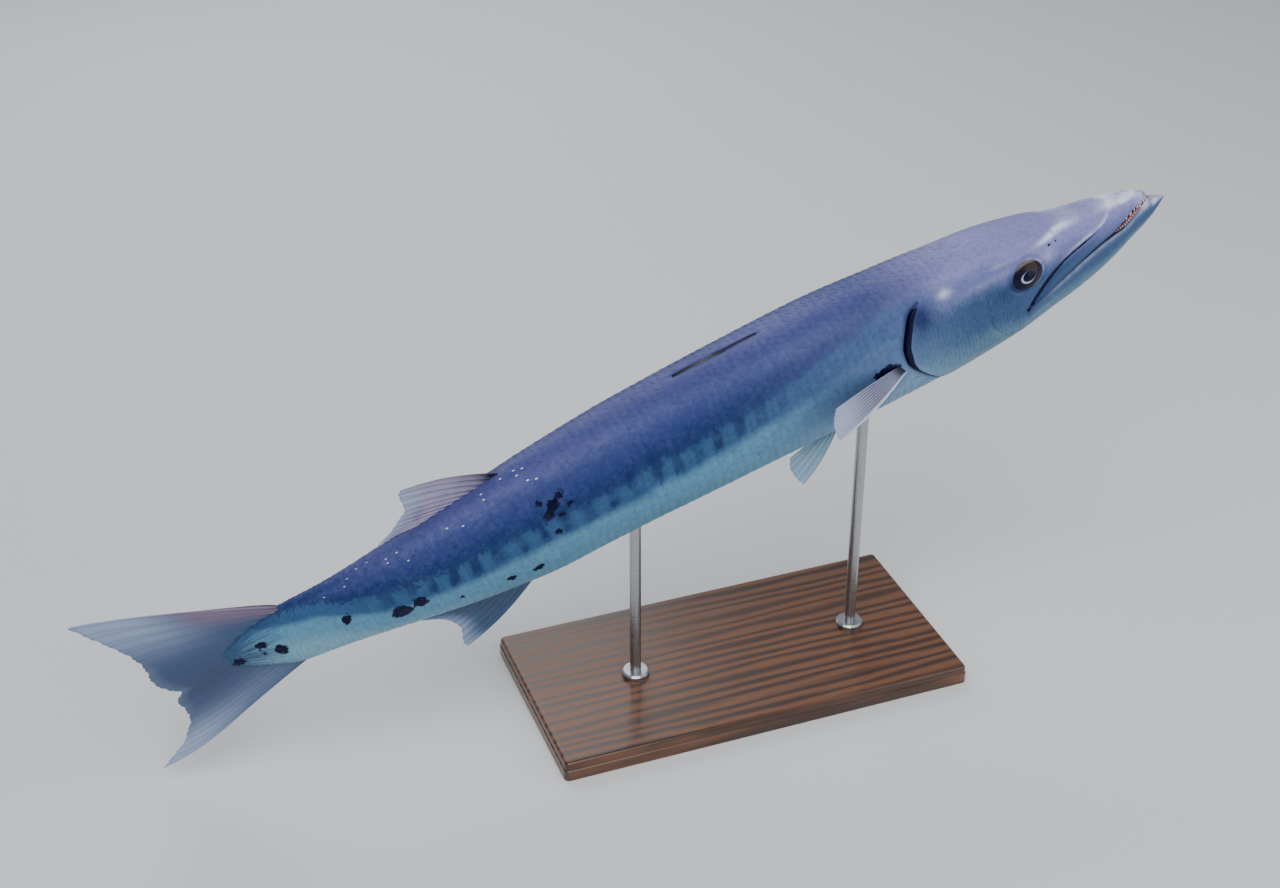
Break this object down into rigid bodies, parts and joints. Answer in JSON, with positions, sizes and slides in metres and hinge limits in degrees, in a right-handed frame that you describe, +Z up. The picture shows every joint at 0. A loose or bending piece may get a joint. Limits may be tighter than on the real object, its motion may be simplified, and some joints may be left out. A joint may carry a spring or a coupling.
{
  "type": "great barracuda display model",
  "caption": "Life-size great barracuda as a still museum model, long jawed head up and tail swept aside, held over a flat wooden base by upright steel rods.",
  "frame": {"origin": "centre of the stand base's underside, on the floor", "axes": "+X the way the fish heads, along the base's long side; +Y the fish's left; +Z up"},
  "size_m": [1.1543, 0.23, 0.4995],
  "materials": {
    "skin_head": "semi-gloss painted skin, lilac silver",
    "skin_jaw": "semi-gloss painted skin, pale lilac",
    "skin_gill": "semi-gloss painted skin, blue grey",
    "eye": "polished, dark pupil and brown iris with a silver ring",
    "skin_trunk": "semi-gloss scaled skin, blue violet back and teal flank",
    "fin_dark": "satin fin skin, dark blue",
    "fin_pale": "satin fin skin, pinkish white with grey rays",
    "fin_slate": "satin fin skin, slate with a pale tip",
    "fin_tail": "satin fin skin, slate with pale blue tips",
    "fin_teal": "satin fin skin, pale teal",
    "stand_wood": "varnished dark wood",
    "stand_steel": "brushed"
  },
  "bodies": {
    "root": {"head": "skin_head", "lower_jaw": "skin_jaw", "gill_cover_right": "skin_gill", "gill_cover_left": "skin_gill", "eye_right": "eye", "eye_left": "eye", "trunk_front": "skin_trunk", "trunk_rear": "skin_trunk", "caudal_peduncle": "skin_trunk", "dorsal_fin_1": "fin_dark", "dorsal_fin_2": "fin_pale", "anal_fin": "fin_slate", "caudal_fin_lower": "fin_tail", "caudal_fin_upper": "fin_tail", "pectoral_fin_right": "fin_pale", "pectoral_fin_left": "fin_pale", "pelvic_fin_right": "fin_teal", "pelvic_fin_left": "fin_teal", "stand_base": "stand_wood", "stand_rod_front": "stand_steel", "stand_rod_rear": "stand_steel"}
  },
  "joints": []
}
